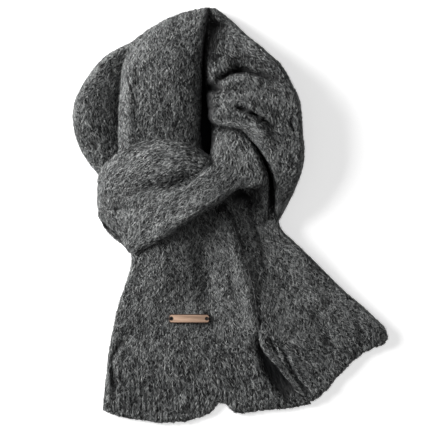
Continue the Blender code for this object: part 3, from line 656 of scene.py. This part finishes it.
tailFront = {
    "node": "tail_front", "restsOn": ["hidden_layers"], "over": ["hidden_layers"], "seed": 1,
    "rows": (
        (-123, -33, 7, 34, 0, 9, 15, 25, 23, 14),
        (-118.5, -52, 19, 10, 0, 6, 15, 24, 22, 13),
        (-121, -68, 28, -20, 0, 4, 12, 20, 18, 11),
        (-127, -86, 38, -50, 0, 3, 10, 15, 14, 8),
        (-134.5, -107, 46, -82, 0, 3, 6.5, 9, 9, 6),
        (-140.5, -133, 56, -115, 0, 3, 7.5, 6.5, 7, 5.5),
        (-146, -162, 67, -150, 0, 3, 8, 6, 6, 5.5),
        (-149, -191, 80, -181, 0, 3, 7.5, 6, 6, 5.5),
        (-152, -215, 91, -209, 0, 3, 5.5, 6, 6, 5.5),
        (-154, -233, 97, -227, 0, 3, 5.5, 5.5, 5.5, 5),
    ),
    "sides": (5, 6), "ends": (0, 4), "endHeights": (0, 3),
    "hem": (
        (0, 2), (0.08, 10), (0.18, 15), (0.28, 19), (0.39, 18), (0.47, 13), (0.51, 10), (0.535, 4),
        (0.555, -3), (0.585, -3), (0.61, 4), (0.64, 10), (0.7, 9), (0.8, 6), (0.9, 5), (1, 1),
    ),
    "wales": 40, "ribs": 40, "flat": (0.25, 0.285), "area": 0.056,
    "folds": (
        (-3, 18, 0, ((-88, -30), (-84, -70), (-88, -120))),
        (7, 14, 0, ((-34, 4), (-31, -48), (-26, -90), (-18, -126)), 0),
        (-7, 10, 0, ((-8, 6), (4, -30), (15, -66), (24, -100), (28, -136), (32, -160))),
        (5, 6, 0, ((-20, 4), (-8, 12), (4, 22)), 0.6),
        (8, 8, 0, ((36, -152), (48, -174), (56, -186), (64, -197), (71, -206), (80, -220)), 1.0),
        (7, 6.5, 0, ((35, -152), (43, -174), (49.5, -186), (55.5, -197), (62, -208), (70, -222)), 1.0),
        (6, 4.5, 0, ((34, -152), (40.5, -173), (45, -186), (51, -198), (58, -209)), 1.0),
        (3, 3.5, 1, ((-130, -151), (-142, -174), (-140, -200), (-138, -224))),
        (1.8, 2.5, 0, ((-98, -234), (-78, -237), (-56, -239), (-32, -236))),
        (1.5, 10, 0, ((-40, -150), (-36, -190), (-30, -226)), 0),
        (0.4, 26, 0, ((-130, -166), (-60, -168), (0, -166), (30, -160)), 0.1),
        (0.4, 16, 0, ((-140, -138), (-100, -136), (-62, -134)), 0.1),
    ),
}
tailBack = {
    "node": "tail_back", "restsOn": ["tail_front", "hidden_layers"],
    "over": ["tail_front", "hidden_layers"], "seed": 2,
    "rows": (
        (-14, 46, 46, 40, 0, 12, 15, 20, 20, 13),
        (-10, 27, 54, 22, 0, 12, 13, 20, 24, 13),
        (-5, 8, 56, 4, 0, 11, 12, 17, 23, 12),
        (5, -16, 60.5, -17, 0, 11, 12, 16, 20, 10),
        (14, -42, 80, -36, 0, 10, 12, 14, 18, 8),
        (23, -72, 108.5, -64, 0, 10, 12, 12, 17, 8),
        (30, -102, 133.5, -89, 0, 10, 13, 11, 16, 8),
        (33, -132, 157, -109, 0, 10, 13, 9.5, 15, 8),
        (38, -160, 172.5, -123, 0, 10, 13, 8.5, 14, 8),
        (56.5, -182, 184.5, -135, 0, 10, 12, 8, 13, 7.5),
        (75, -206, 188.5, -143, 0, 10, 11, 8, 10, 6),
        (90, -227, 189, -150, 0, 8, 9, 7.5, 8.5, 5),
    ),
    "sides": (8, 4), "ends": (0, 4), "endHeights": (0, 3),
    "hem": (
        (0, 0), (0.14, 4.5), (0.27, 2.5), (0.38, -1.5), (0.5, -3), (0.62, -5.5), (0.76, -5),
        (0.86, -2), (0.95, 1.5), (1, 0),
    ),
    "wales": 36, "ribs": 24, "flat": (0.24, 0.29), "area": 0.034,
    "folds": (
        (14, 7.5, 0, ((0, 18), (9, 23), (19, 23), (27, 14)), 1.0),
        (8, 4.5, 0, ((46, 58), (48.5, 40), (49.5, 20), (50, 0)), 0.95),
        (3, 5, 0, ((-12, 14), (-2, -2), (9, -28), (17, -56)), 0.7),
        (1.5, 3.5, 0, ((30, -92), (32, -112), (34, -138)), 0.45),
        (3, 2.4, 1, ((47, -146), (52, -158), (59, -172)), 0.45),
        (4, 2.6, 1.2, ((62, -160), (69, -175), (77, -192), (95, -214)), 0.4),
        (-3.5, 12, 0, ((66, -25), (88, -60), (112, -110))),
        (1.8, 6, 0, ((150, -124), (158, -140), (166, -154))),
        (2, 8, 0, ((96, -110), (112, -140), (126, -166))),
    ),
}
wrapTurn = {
    "node": "wrap_turn", "restsOn": ["hidden_layers"],
    "over": ["tail_front", "hidden_layers"], "seed": 3,
    "rows": (
        (-150, 32, -136, 32, 0, 5, 5, 5, 5, 5),
        (-154, 14, -138, 14, 0, 6, 7, 7, 6, 6),
        (-159.5, 3, -138, 4, 0, 6, 8, 8, 7, 6),
        (-155.5, -8, -133, -5, 0, 6, 9, 9, 7, 6),
        (-149, -19, -126, -11, 0, 6, 9, 9, 8, 7),
        (-140, -28, -117, -16, 0, 6, 9, 10, 9, 8),
        (-132, -34, -109, -19, 0, 7, 10, 10, 9, 8),
        (-123, -42, -99, -24, 0, 7, 10, 10, 10, 9),
        (-113, -49, -90, -30, 0, 7, 10, 11, 11, 10),
    ),
    "sides": (7, 0), "wales": 5, "flat": (0.035, 0.105), "swell": 1.0,
    "folds": (
        (3, 2.4, 0, ((-155, -7), (-149.5, -14), (-145, -20)), 0.98),
        (2, 3, 0, ((-150, -9), (-140, -19), (-130, -28)), 0.6),
    ),
}
neckLeftUnder = {
    "node": "neck_left_under", "restsOn": ["hidden_layers"], "over": [], "seed": 4,
    "rows": (
        (-107, 212, -94, 205, 0, 8, 12, 14, 13, 12),
        (-135, 200, -109, 184, 0, 9, 17, 19, 18, 17),
        (-157, 184, -113, 164, 0, 9, 21, 19, 15, 14),
        (-176, 158, -116, 140, 0, 9, 23, 18, 10, 8),
        (-187.4, 133, -117, 116, 0, 11, 23, 18, 9, 6),
        (-188.4, 107, -118, 95, 0, 11, 23, 18, 9, 6),
        (-182, 84, -118, 76, 0, 9, 18, 15, 9, 6),
        (-171, 64, -117, 56, 0, 7, 13, 12, 9, 7),
        (-155, 45, -111, 37, 0, 6, 9, 9, 8, 7),
    ),
    "sides": (7, 0), "ends": (12, 0), "endHeights": (9, 0), "wales": 15, "flat": (0.1, 0.185),
    "area": 0.014,
    "folds": (
        (5, 11, 0, ((-124, 196), (-130, 160), (-131, 120), (-129, 78))),
        (-2, 12, 0, ((-165, 160), (-168, 110), (-158, 70))),
    ),
}
neckLeftOver = {
    "node": "neck_left_over", "restsOn": ["hidden_layers", "neck_left_under"],
    "over": ["neck_left_under"], "seed": 5,
    "rows": (
        (-119.5, 207, -25, 250, 8, 8, 12, 16, 19, 14),
        (-125, 193, -28, 231, 6, 11, 19, 28, 28, 18),
        (-130, 176, -31.5, 206, 5, 14, 29, 36, 32, 18),
        (-131, 156, -33.5, 181, 4, 18, 35, 39, 32, 14),
        (-133, 133, -34, 153, 3, 18, 36, 38, 28.5, 11),
        (-134, 110, -34.8, 126, 2, 18, 36, 36, 25.5, 9.5),
        (-134, 89, -35.8, 101, 0, 18, 35, 33, 22, 8),
        (-133, 70, -33, 80, 0, 18, 29, 31, 20, 9),
        (-128, 52, -27, 61, 0, 14, 21, 26, 20, 12),
    ),
    "sides": (18, 12), "ends": (12, 0), "endHeights": (9, 0), "wales": 20, "flat": (0.13, 0.2),
    "area": 0.024, "darkSides": (0, 0.8), "darkReach": (8, 4),
    "folds": (
        (-3, 8, 0, ((-122, 185), (-124, 135), (-124, 80))),
        (-2, 14, 0, ((-70, 220), (-62, 160), (-62, 100))),
        (2.5, 1.3, 0, ((-123, 172), (-120, 158), (-115, 140), (-111, 128)), 0.4),
        (2, 1.2, 0, ((-114, 178), (-111, 165), (-107, 148)), 0.3),
    ),
}
neckRightOuter = {
    "node": "neck_right_outer", "restsOn": ["hidden_layers", "wrap_front"],
    "over": ["tail_back"], "seed": 6,
    "rows": (
        (-28, 248.5, -18, 248, 0, 10, 13, 15, 14, 9),
        (-31, 238, -1, 235, 0, 9, 14, 18, 20, 10),
        (-32, 222, 18.5, 216, 0, 9, 19, 24, 26, 11),
        (-31.5, 203, 42.5, 196, 0, 9, 23, 30, 33, 11),
        (-32, 186, 62, 177, 0, 9, 26, 35, 38, 15),
        (-31, 168, 73, 156.5, 2, 9, 30, 40, 41, 16),
        (-29.5, 150, 82, 138, 3, 9, 32, 41, 42, 16),
        (-28, 132, 84.5, 118, 4, 9, 32, 41, 42, 16),
        (-25, 113, 86, 98, 6, 10, 33, 41, 41, 16),
        (-8, 106, 87.5, 80, 6, 13, 37, 41, 40, 16),
        (10, 103, 87, 64, 5, 13, 38, 40, 38, 16),
        (25.5, 88, 84, 50, 4, 13, 38, 39, 35, 15),
        (40.5, 66.5, 79, 37, 3, 13, 37, 37, 33, 14),
        (49.5, 45, 72.5, 22, 0, 13, 35, 34, 30, 10),
        (51.5, 27, 66, 9, 0, 12, 30, 30, 25, 10),
        (51.5, 10, 60, -3, 0, 10, 23, 23, 19, 9),
        (53, -5, 57, -8, 0, 8, 13, 14, 12, 9),
    ),
    "sides": (9, 6), "darkSides": (0.85, 0), "darkReach": (7, 1), "ends": (12, 10),
    "endHeights": (9, 8), "wales": 20, "flat": (0.17, 0.28),
    "area": 0.032, "relief": 1.2,
    "folds": (
        (5, 7, 0, ((-28, 230), (-20, 229), (-11, 228), (-2, 233)), 0.7),
        (1, 12, 0, ((-28, 238), (-25, 220), (-22, 200), (-20, 178)), 0.65),
        (3, 6, 0, ((-28, 158), (-22, 152), (-14, 148)), 0.6),
        (1.5, 7.5, 0, ((-29, 178), (-27, 152), (-26, 130), (-24, 108)), 0.8),
        (2.5, 9, 0, ((-22, 195), (-6, 191.5), (8, 188), (24, 184)), 0.3),
        (2, 13, 0, ((-20, 222), (-6, 214), (8, 206), (22, 200)), 0.15),
        (4, 10, 0, ((-4, 178), (16, 184), (40, 180), (66, 168)), 0.4),
        (9, 5.5, -3, (
            (-19, 157), (-12, 162), (-2, 168), (8, 172), (18, 172.5), (30, 169.5), (46, 165), (72, 161),
        ), 0.6),
        (8, 3.4, 0, ((-18, 158), (-7, 165.5), (6, 171.5), (18, 172.5), (30, 169.5), (54, 163)), 0.98),
        (12, 5.4, 0, ((-46, 152), (-32, 152), (-20, 151.5), (-7, 149.5)), 1.0),
        (2.5, 2, 0, ((-22, 149), (-6, 148.5), (8, 148.5), (26, 146)), 0.4),
        (6, 2.2, 0, ((-46, 129), (-34, 129), (-24, 128), (-12, 129)), 0.6),
        (7, 3.6, 1.2, ((4, 129), (13, 127), (24, 122), (36, 115.5), (46, 109.5), (54, 103)), 0.4),
        (7, 2.3, 0, ((6, 128), (17, 125.5), (27, 121), (38, 114.5), (48, 108)), 0.98),
        (-5, 6, 0, ((-20, 158), (8, 161), (40, 156))),
        (-10, 6.5, 0, ((-46, 134), (-4, 132.5), (24, 129.5), (58, 114))),
        (-10, 6.5, 0, ((-46, 122.5), (-4, 122.5), (16, 118.5), (34, 105), (46, 85))),
        (3.5, 1.7, 0, ((69, 114), (72, 108), (76, 100)), 0.7),
    ),
}
wrapFront = {
    "node": "wrap_front", "restsOn": ["hidden_layers", "wrap_upper"],
    "over": ["neck_left_over", "wrap_upper", "wrap_turn", "tail_front", "tail_back"], "seed": 7,
    "rows": (
        (-25, 119, 2, 116, 0, 6, 9, 15, 17, 10),
        (-23, 104, 17, 103, 0, 6, 16, 25, 27, 13),
        (-23, 88, 30, 81, 0, 8, 24, 34, 37, 14),
        (-25, 71, 40, 61, 0, 16, 32, 40, 41, 15),
        (-31, 57, 45, 37, 0, 34, 44, 47, 42, 26),
        (-41, 43, 28, 33, 0, 42, 51, 53, 48, 33),
        (-53, 34, 9, 31.5, 0, 44, 52, 56, 53, 35),
        (-65, 29, -12, 15, 0, 43, 51, 55, 56, 36),
        (-78, 26, -33, 2, 0, 40, 47, 52, 55, 34),
        (-92, 25, -51, -10, 0, 37, 42, 46, 49, 32),
        (-107, 24, -72, -24, 0, 32, 36, 39, 41, 28),
        (-123, 23, -95, -37, 0, 25, 29, 31, 31, 21),
        (-138, 22, -119, -46, 0, 17, 20, 21, 21, 14),
        (-146, 21, -132, -28, 0, 13, 15, 16, 15, 10),
        (-152.5, 20, -142.5, -17, 0, 10, 12, 13, 12, 8),
        (-157.5, 19, -150.5, -10, 0, 8, 9, 10, 9, 7),
        (-160.5, 18, -158.5, 0, 0, 6, 7, 7, 6, 5),
    ),
    "sides": (7, 8), "darkSides": (0, 0.45), "darkReach": (1, 3), "ends": (0, 6),
    "endHeights": (0, 4), "wales": 13, "flat": (0.09, 0.25),
    "area": 0.018, "relief": 1.3, "lean": 12,
    "grain": (
        (-152, 18, 95), (-147, 0, 105), (-135, -16, 110), (-133, 18, 74), (-115, 0, 66),
        (-121, -30, 60), (-91, 12, 42), (-91, -24, 38), (-61, 24, 42), (-55, 0, 45), (-31, 42, 55),
        (-19, 18, 45), (-19, 60, 62), (-1, 42, 62), (-7, 84, 82), (23, 66, 102), (23, 36, 84),
    ),
    "folds": (
        (6, 5, 0, ((-32, 106), (-12, 105), (8, 102), (22, 90)), 0.55),
        (-2, 7, 0, ((-30, 10), (-62, -4), (-98, -22))),
        (1.5, 6.5, 0, ((-25, 113), (-23, 98), (-22, 86), (-24, 77)), 0.85),
    ),
}
wrapUpper = {
    "node": "wrap_upper", "restsOn": ["hidden_layers", "neck_left_over"],
    "over": ["neck_left_over", "neck_left_under", "wrap_turn"], "seed": 8,
    "rows": (
        (-23, 70, -20, 56, 0, 27, 33, 35, 31, 26),
        (-32, 76, -23, 40, 0, 28, 38, 41, 33, 27),
        (-47, 83, -33, 26, 0, 31, 42, 45, 36, 29),
        (-63, 88, -49, 17, 0, 32, 44, 47, 37, 28),
        (-79, 90, -67, 11, 0, 32, 43, 48, 36, 26),
        (-97, 89, -85, 8, 0, 30, 41, 46, 34, 25),
        (-113, 85, -104, 6, 0, 26, 37, 41, 30, 22),
        (-130, 77, -123, 6, 0, 22, 32, 35, 25, 18),
        (-144, 67, -140, 8, 0, 18, 27, 29, 20, 14),
        (-153, 58, -152, 10, 0, 13, 20, 21, 15.5, 11),
        (-159.5, 47, -160, 12, 0, 9, 12, 12, 10, 8),
    ),
    "sides": (16, 5), "ends": (0, 8), "endHeights": (0, 4), "wales": 14, "flat": (0.1, 0.16),
    "area": 0.0125, "relief": 1.2, "lean": 8,
    "grain": (
        (-151, 60, 62), (-151, 30, 76), (-133, 72, 40), (-127, 42, 44), (-139, 18, 70), (-97, 84, 15),
        (-97, 54, 24), (-97, 34, 30), (-61, 78, 5), (-61, 48, 28), (-37, 66, -15),
    ),
    "folds": (
        (4, 8, 0, ((-42, 50), (-60, 40), (-84, 35), (-104, 37)), 0.3),
    ),
}
wrapStrand = {
    "node": "wrap_front", "restsOn": ["tail_back", "hidden_layers"],
    "over": ["tail_back"], "seed": 9,
    "rows": (
        (22, 54, 43.5, 52, 0, 26, 37, 40, 37, 14),
        (26, 44, 45.5, 40, 0, 24, 35, 39, 36, 14),
        (29, 36, 46, 31, 0, 20, 31, 36, 33, 14),
        (32, 27, 46, 22, 0, 16, 25, 31, 28, 13),
        (36, 17, 45.5, 12, 0, 13, 20, 25, 23, 12),
        (39, 6, 45, 3, 0, 10, 15, 19, 17, 10),
        (41, -4, 45, -6, 0, 8, 10, 11, 10, 8),
    ),
    "sides": (6, 5), "darkSides": (0.35, 0.7), "darkReach": (4, 2.5), "ends": (0, 6),
    "endHeights": (0, 6), "wales": 5, "flat": (0.03, 0.065),
    "folds": (),
}

for name, cloth in {
    "wrapStrand": wrapStrand, "tailFront": tailFront, "tailBack": tailBack, "wrapTurn": wrapTurn,
    "neckLeftUnder": neckLeftUnder, "neckLeftOver": neckLeftOver, "wrapUpper": wrapUpper,
    "wrapFront": wrapFront, "neckRightOuter": neckRightOuter,
}.items():
    layCloth(name, cloth)


# The layers inside are seen only down the partings, and are painted wholly in shade.
def innerLayers():
    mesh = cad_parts["hidden_layers"].data.copy()
    mesh.name = "innerLayers"
    mesh.materials.clear()
    mesh.materials.append(shadeKnit)
    count = len(mesh.vertices)
    places = np.empty(3 * count)
    mesh.vertices.foreach_get("co", places)
    places = places.reshape(-1, 3)
    cloths = nodeTree(list(laidPieces))
    for place in places:  # it stays below whatever lies over it, and deep where nothing does
        x, y, z = place / mm
        hit = cloths.ray_cast(Vector((x, y, 0.3)), Vector((0, 0, 1)))[0]
        place[2] = mm * max(0, min(z, hit.z - 0.8 if hit else 9))
    mesh.vertices.foreach_set("co", places.ravel())
    lay = mesh.attributes.new("lay", "FLOAT_VECTOR", "POINT")
    lay.data.foreach_set("vector", (places / mm).ravel())
    # shade 0: painted black, as they lie in shadow
    shade = mesh.attributes.new("shade", "FLOAT", "POINT")
    shade.data.foreach_set("value", np.zeros(count))
    piece = newObject("innerLayers", mesh)
    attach(piece, "root")
    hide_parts("hidden_layers")


innerLayers()
report("inner layers")


tagLook = {  # mm, and the turn in degrees
    "length": 49, "width": 11, "thickness": 2, "corner": 3.6, "holeInset": 3.2, "holeRadius": 1.9,
    "edgeWear": 0.3, "place": (-49.7, -124.6), "turn": -0.3, "raised": 0.25,
    "wood": (0.52, 0.345, 0.245, 1), "darkGrain": (0.38, 0.245, 0.17, 1),
    # painted shade: a dark rim along the tag's edge and round its holes
    "rimShade": (0.035, 0.017, 0.011, 1), "rimShadeEdge": (1.0, 1.7), "rimShadeHole": 0.6,
    "threadRadius": 0.42, "threadDark": (0.008, 0.006, 0.006, 1),
    "threadPale": (0.035, 0.026, 0.024, 1),
}


def tagMaterial():
    material, start = newMaterial("sandedWood")
    place = start.node("ShaderNodeTexCoord", None, None, output=3).scaled((1000, 1000, 1000))
    split = place.node("ShaderNodeSeparateXYZ", None, {0: place})
    x = Wire(start.tree, split.socket.node.outputs[0])
    y = Wire(start.tree, split.socket.node.outputs[1])
    half, deep, corner = tagLook["length"] / 2, tagLook["width"] / 2, tagLook["corner"]
    outX = x.maths("MAXIMUM", abs(x) - (half - corner), 0.0)
    outY = y.maths("MAXIMUM", abs(y) - (deep - corner), 0.0)
    inside = corner - (outX**2.0 + outY**2.0) ** 0.5
    holeX = abs(x) - (half - tagLook["holeInset"])
    toHole = (holeX * holeX + y * y) ** 0.5
    grain = place.cloudy(0.35, 3.0, 0.6, (0.12, 1.6, 1))
    wobble = place.cloudy(0.5, 2.0)
    wood = grain.between(0.35, 0.7).mix(tagLook["wood"], tagLook["darkGrain"])
    hole = tagLook["holeRadius"]
    # painted shade: a dark rim inside the tag's edge and round its holes
    edge = (inside + 0.5 * wobble).between(*tagLook["rimShadeEdge"])
    rim = (toHole - 0.3 * wobble).between(hole, hole + tagLook["rimShadeHole"])
    colour = (edge * rim).mix(tagLook["rimShade"], wood)
    bump = start.node("ShaderNodeBump", None, {
        "Strength": 0.25, "Distance": 0.2 * mm, "Height": grain,
    })
    return finishMaterial(material, start, {
        "Base Color": colour, "Roughness": 0.5 + 0.15 * grain, "Normal": bump,
    })


def threadMaterial():
    material, start = newMaterial("darkThread")
    place = start.node("ShaderNodeTexCoord", None, None, output=3)
    twist = place.cloudy(2600.0, 1.0)
    colour = twist.between(0.4, 0.65).mix(tagLook["threadDark"], tagLook["threadPale"])
    return finishMaterial(material, start, {"Base Color": colour, "Roughness": 0.7 + 0.2 * twist})


def woodenTag():
    half, deep, corner = tagLook["length"] / 2, tagLook["width"] / 2, tagLook["corner"]
    thick, hole = tagLook["thickness"], half - tagLook["holeInset"]
    rim = []
    for quarter, (sx, sy) in enumerate(((1, 1), (-1, 1), (-1, -1), (1, -1))):
        for step in range(9):
            angle = math.pi / 2 * (quarter + step / 8)
            rim.append((
                sx * (half - corner) + corner * math.cos(angle),
                sy * (deep - corner) + corner * math.sin(angle),
            ))
    body = bmesh.new()
    top = [body.verts.new((x * mm, y * mm, thick * mm)) for x, y in rim]
    low = [body.verts.new((x * mm, y * mm, 0)) for x, y in rim]
    body.faces.new(top)
    body.faces.new(low[::-1])
    for k in range(len(rim)):
        body.faces.new((top[k - 1], low[k - 1], low[k], top[k]))
    bmesh.ops.recalc_face_normals(body, faces=body.faces)
    mesh = bpy.data.meshes.new("woodenTag")
    body.to_mesh(mesh)
    body.free()
    tag = newObject("woodenTag", mesh)
    for side in (-1, 1):
        bpy.ops.mesh.primitive_cylinder_add(
            vertices=28, radius=tagLook["holeRadius"] * mm, depth=12 * mm,
            location=(side * hole * mm, 0, 0))
        drill = bpy.context.object
        cut = tag.modifiers.new("hole", "BOOLEAN")
        cut.object, cut.solver = drill, "EXACT"
        bpy.context.view_layer.objects.active = tag
        bpy.ops.object.modifier_apply(modifier="hole")
        bpy.data.objects.remove(drill)
    soften = tag.modifiers.new("soften", "BEVEL")
    soften.width, soften.segments, soften.limit_method = tagLook["edgeWear"] * mm, 2, "ANGLE"
    bpy.ops.object.modifier_apply(modifier="soften")
    mesh.shade_smooth()
    mesh.set_sharp_from_angle(angle=math.radians(45))
    mesh.materials.append(tagMaterial())
    low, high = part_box("tag")
    fall = math.atan(((high - low).z / mm - thick) / tagLook["length"])
    x, y = tagLook["place"]
    seatHeight = (low.z + high.z) / 2 - thick / 2 * mm + tagLook["raised"] * mm
    seat = Matrix.Translation((x * mm, y * mm, seatHeight))
    seat = seat @ Euler((0, fall, math.radians(tagLook["turn"]))).to_matrix().to_4x4()
    tag.matrix_world = seat
    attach(tag, "root")
    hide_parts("tag")
    thread = threadMaterial()
    for side, name in ((-1, "left"), (1, "right")):
        loops = []
        for lean in (-0.5, 0.5):
            loops.append((
                (hole - 0.2, lean, -0.6), (hole, lean, thick * 0.8), (hole + 0.9, lean, thick + 0.6),
                (half - 0.4, lean * 1.2, thick + 0.55), (half + 0.8, lean * 1.3, thick - 0.6),
                (half + 1.2, lean * 1.3, -0.8),
            ))
        curve = bpy.data.curves.new("stitch_" + name, "CURVE")
        curve.dimensions, curve.bevel_resolution = "3D", 2
        curve.bevel_depth = tagLook["threadRadius"] * mm
        curve.use_fill_caps, curve.resolution_u = True, 5
        for stops in loops:
            line = curve.splines.new("BEZIER")
            line.bezier_points.add(len(stops) - 1)
            for point, (a, b, c) in zip(line.bezier_points, stops):
                point.co = (side * a * mm, b * mm, c * mm)
                point.handle_left_type = point.handle_right_type = "AUTO"
        curve.materials.append(thread)
        stitch = newObject("stitch_" + name, curve)
        stitch.matrix_world = seat
        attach(stitch, "root")
        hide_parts("tag_thread_" + name)


woodenTag()
report("wooden tag")


studio = {  # m and W
    "floor": 0.86, "floorSize": 6, "floorLevel": -0.0004, "floorGlow": 0.6, "key": 63.0,
    "keyFrom": (-1.48, 0.5, 0.66), "keySize": 0.9, "sky": 0.2, "exposure": 0.0,
}
view = {"over": (-0.021, 0.0024), "height": 3.2, "level": 0.015, "width": 0.5112, "sensor": 36}

material, start = newMaterial("paleFloor")
place = start.node("ShaderNodeTexCoord", None, None, output=3)
specks = place.cloudy(14.0, 2.0)
colour = specks.mix(grey(studio["floor"] - 0.01), grey(studio["floor"] + 0.01))
finishMaterial(material, start, {
    "Base Color": colour, "Roughness": 0.7,
    "Emission Color": (1, 1, 1, 1), "Emission Strength": studio["floorGlow"],
})
bpy.ops.mesh.primitive_plane_add(size=studio["floorSize"], location=(0, 0, studio["floorLevel"]))
floor = bpy.context.object
floor.name = "paleFloor"
floor.data.materials.append(material)

lamp = bpy.data.lights.new("window", "AREA")
lamp.energy, lamp.size = studio["key"], studio["keySize"]
window = newObject("window", lamp)
window.location = studio["keyFrom"]
window.rotation_euler = (-Vector(studio["keyFrom"])).to_track_quat("-Z", "Y").to_euler()

world = bpy.data.worlds.new("softSky")
bpy.context.scene.world = world
world.use_nodes = True
background = world.node_tree.nodes["Background"]
background.inputs["Color"].default_value = (1, 1, 1, 1)
background.inputs["Strength"].default_value = studio["sky"]
bpy.context.scene.view_settings.view_transform = "Standard"
bpy.context.scene.view_settings.exposure = studio["exposure"]

cameraData = bpy.data.cameras.new("above")
cameraData.sensor_width = view["sensor"]
cameraData.lens = view["sensor"] * view["height"] / view["width"]
camera = newObject("above", cameraData)
camera.location = (*view["over"], view["height"] + view["level"])
bpy.context.scene.camera = camera
report("floor, light and camera")
